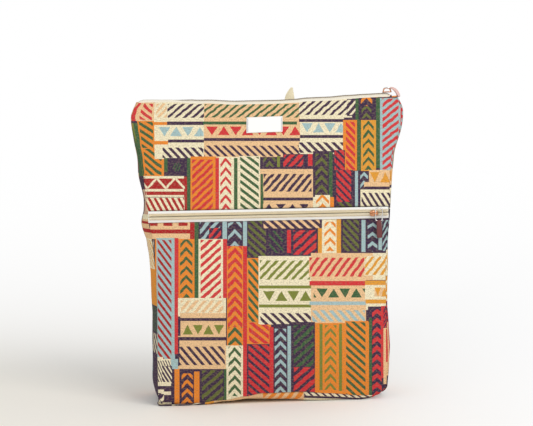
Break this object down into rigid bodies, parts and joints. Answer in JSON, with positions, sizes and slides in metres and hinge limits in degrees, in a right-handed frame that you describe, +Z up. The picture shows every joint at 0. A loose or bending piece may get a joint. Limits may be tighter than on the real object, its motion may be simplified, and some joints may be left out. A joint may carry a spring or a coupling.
{
  "type": "backpack",
  "caption": "Soft zip-top backpack in patchwork tapestry with a full-width zipped front pocket, webbing shoulder straps and a small hanging loop.",
  "frame": {"origin": "centre of the base on the floor", "axes": "+Z up, the front with the pocket faces -Y, +X to the right seen from the front"},
  "size_m": [0.3307, 0.1273, 0.3808],
  "materials": {
    "tapestry": "woven",
    "lining_cotton": "plain cotton",
    "white_tape": "woven tape",
    "beige_coil": "satin",
    "taupe_coil": "satin",
    "copper_metal": "polished copper plate",
    "ring_metal": "polished",
    "leather": "smooth",
    "label_cloth": "woven satin",
    "cream_webbing": "cotton webbing"
  },
  "bodies": {
    "root": {"front_panel_upper": "tapestry", "front_pocket_panel": "tapestry", "back_panel": "tapestry", "side_gusset_left": "tapestry", "side_gusset_right": "tapestry", "base_panel": "tapestry", "pocket_lining": "lining_cotton", "top_zip_tape_front": "white_tape", "top_zip_tape_back": "white_tape", "top_zip_coil_front": "taupe_coil", "top_zip_coil_back": "taupe_coil", "front_zip_tape_upper": "white_tape", "front_zip_tape_lower": "white_tape", "front_zip_coil_upper": "beige_coil", "front_zip_coil_lower": "beige_coil", "label": "label_cloth", "hang_loop": "cream_webbing", "strap_anchor_patch": "cream_webbing", "shoulder_strap_left": "cream_webbing", "shoulder_strap_right": "cream_webbing", "strap_ring_left": "ring_metal", "strap_ring_right": "ring_metal", "ring_tab_left": "cream_webbing", "ring_tab_right": "cream_webbing"},
    "top_slider": {"top_zip_slider": "copper_metal"},
    "top_ring": {"top_zip_pull_ring": "ring_metal"},
    "top_tab": {"top_zip_pull_tab": "leather"},
    "pocket_slider": {"front_zip_slider": "copper_metal"},
    "pocket_ring": {"front_zip_pull_ring": "ring_metal"},
    "pocket_tab": {"front_zip_pull_tab": "leather"},
    "adjuster_left": {"strap_adjuster_left": "ring_metal"},
    "adjuster_right": {"strap_adjuster_right": "ring_metal"}
  },
  "joints": [
    {"name": "top_zip_slide", "type": "slide", "parent": "root", "child": "top_slider", "axis": [0.9998, 0, 0.0192], "range_m": [-0.29, 0]},
    {"name": "top_ring_swing", "type": "hinge", "parent": "top_slider", "child": "top_ring", "pos_m": [0.14625, 0, 0.37682], "axis": [0, -1, 0], "range_deg": [0, 180]},
    {"name": "top_tab_swing", "type": "hinge", "parent": "top_ring", "child": "top_tab", "pos_m": [0.15465, 0, 0.37698], "axis": [0, -1, 0], "range_deg": [0, 24]},
    {"name": "pocket_zip_slide", "type": "slide", "parent": "root", "child": "pocket_slider", "axis": [1, 0, 0], "range_m": [-0.2546, 0]},
    {"name": "pocket_ring_swing", "type": "hinge", "parent": "pocket_slider", "child": "pocket_ring", "pos_m": [0.1275, -0.04345, 0.22741], "axis": [0, -0.1402, -0.9901], "range_deg": [0, 90]},
    {"name": "pocket_tab_lift", "type": "hinge", "parent": "pocket_ring", "child": "pocket_tab", "pos_m": [0.1317, -0.04403, 0.22325], "axis": [-1, 0, 0], "range_deg": [0, 90]},
    {"name": "adjuster_slide_left", "type": "slide", "parent": "root", "child": "adjuster_left", "axis": [0.2299, 0.0715, 0.9706], "range_m": [-0.05, 0.025]},
    {"name": "adjuster_slide_right", "type": "slide", "parent": "root", "child": "adjuster_right", "axis": [-0.229, 0.0719, 0.9708], "range_m": [-0.05, 0.025]}
  ]
}
